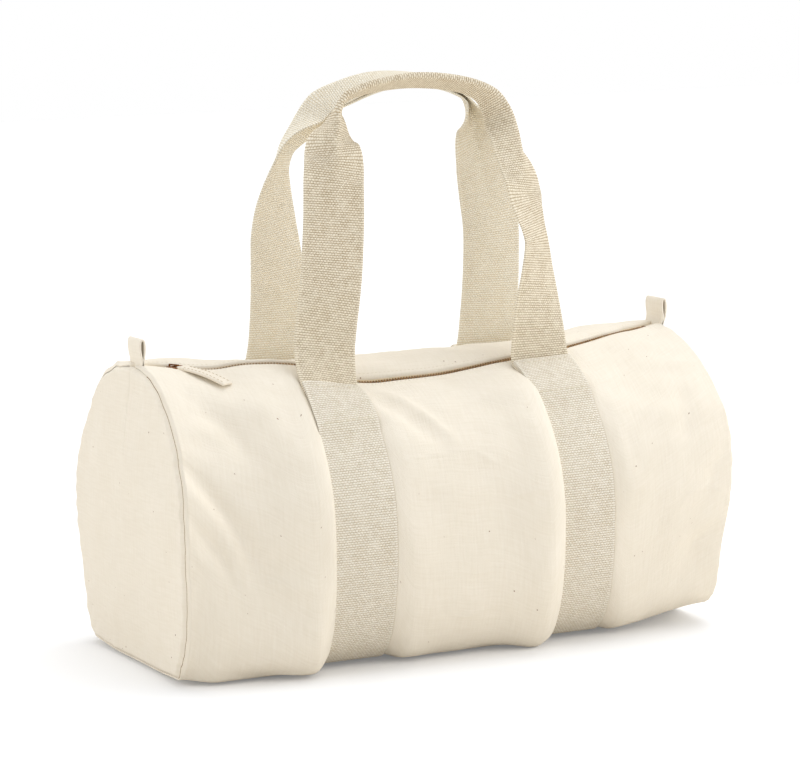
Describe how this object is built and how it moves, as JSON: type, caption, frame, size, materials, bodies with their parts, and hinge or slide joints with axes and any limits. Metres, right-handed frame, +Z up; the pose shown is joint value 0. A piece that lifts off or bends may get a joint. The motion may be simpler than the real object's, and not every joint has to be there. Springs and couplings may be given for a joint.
{
  "type": "barrel bag",
  "caption": "Cotton canvas barrel bag with round ends, a top zip, two webbing wrap straps and two carry handles that fold outward.",
  "frame": {"origin": "middle of the flat base, on the surface that the bag stands on", "axes": "+X along the bag towards its right end seen from the front, -Y out of the front, +Z up"},
  "size_m": [0.4676, 0.2612, 0.4449],
  "materials": {
    "canvas": "matte",
    "webbing": "matte",
    "binding": "matte",
    "zip_tape": "matte",
    "pull_cotton": "matte",
    "brass": "antique satin"
  },
  "bodies": {
    "bag": {"body_panel": "canvas", "end_panel_left": "canvas", "end_panel_right": "canvas", "seam_binding_left": "binding", "seam_binding_right": "binding", "zip_tape_front": "zip_tape", "zip_tape_rear": "zip_tape", "zip_teeth_front": "brass", "zip_teeth_rear": "brass", "zip_top_stops": "brass", "zip_bottom_stop": "brass", "wrap_strap_left": "webbing", "wrap_strap_right": "webbing", "handle_front_tails": "webbing", "handle_rear_tails": "webbing"},
    "slider": {"zip_slider": "brass"},
    "pull_ring": {"zip_pull_ring": "brass"},
    "pull_tab": {"zip_pull_tab": "pull_cotton"},
    "front_handle": {"handle_front": "webbing"},
    "rear_handle": {"handle_rear": "webbing"},
    "left_loop": {"loop_tab_left": "canvas"},
    "right_loop": {"loop_tab_right": "canvas"}
  },
  "joints": [
    {"name": "zip_travel", "type": "hinge", "parent": "bag", "child": "slider", "pos_m": [0, 0.47687, 0.40175], "axis": [0, -0.335, 0.9422], "range_deg": [0, 42.6], "deforming": ["zip_teeth_front", "zip_teeth_rear", "zip_tape_front", "zip_tape_rear", "zip_pull_tab"]},
    {"name": "pull_ring_swing", "type": "hinge", "parent": "slider", "child": "pull_ring", "pos_m": [-0.19788, -0.01064, 0.22975], "axis": [-0.8648, -0.5011, 0.033], "range_deg": [0, 100]},
    {"name": "pull_tab_swing", "type": "hinge", "parent": "pull_ring", "child": "pull_tab", "pos_m": [-0.19389, -0.01756, 0.22928], "axis": [-0.8648, -0.5011, 0.033], "range_deg": [0, 60]},
    {"name": "front_handle_fold", "type": "hinge", "parent": "bag", "child": "front_handle", "pos_m": [0, -0.054, 0.22226], "axis": [1, 0, 0], "range_deg": [0, 118]},
    {"name": "rear_handle_fold", "type": "hinge", "parent": "bag", "child": "rear_handle", "pos_m": [0, 0.054, 0.22226], "axis": [-1, 0, 0], "range_deg": [0, 118]},
    {"name": "left_loop_bend", "type": "hinge", "parent": "bag", "child": "left_loop", "pos_m": [-0.2232, 0, 0.23373], "axis": [0, 1, 0], "range_deg": [-25, 25], "stiffness_Nm_per_rad": 0.002},
    {"name": "right_loop_bend", "type": "hinge", "parent": "bag", "child": "right_loop", "pos_m": [0.2232, 0, 0.23373], "axis": [0, 1, 0], "range_deg": [-25, 25], "stiffness_Nm_per_rad": 0.002}
  ]
}
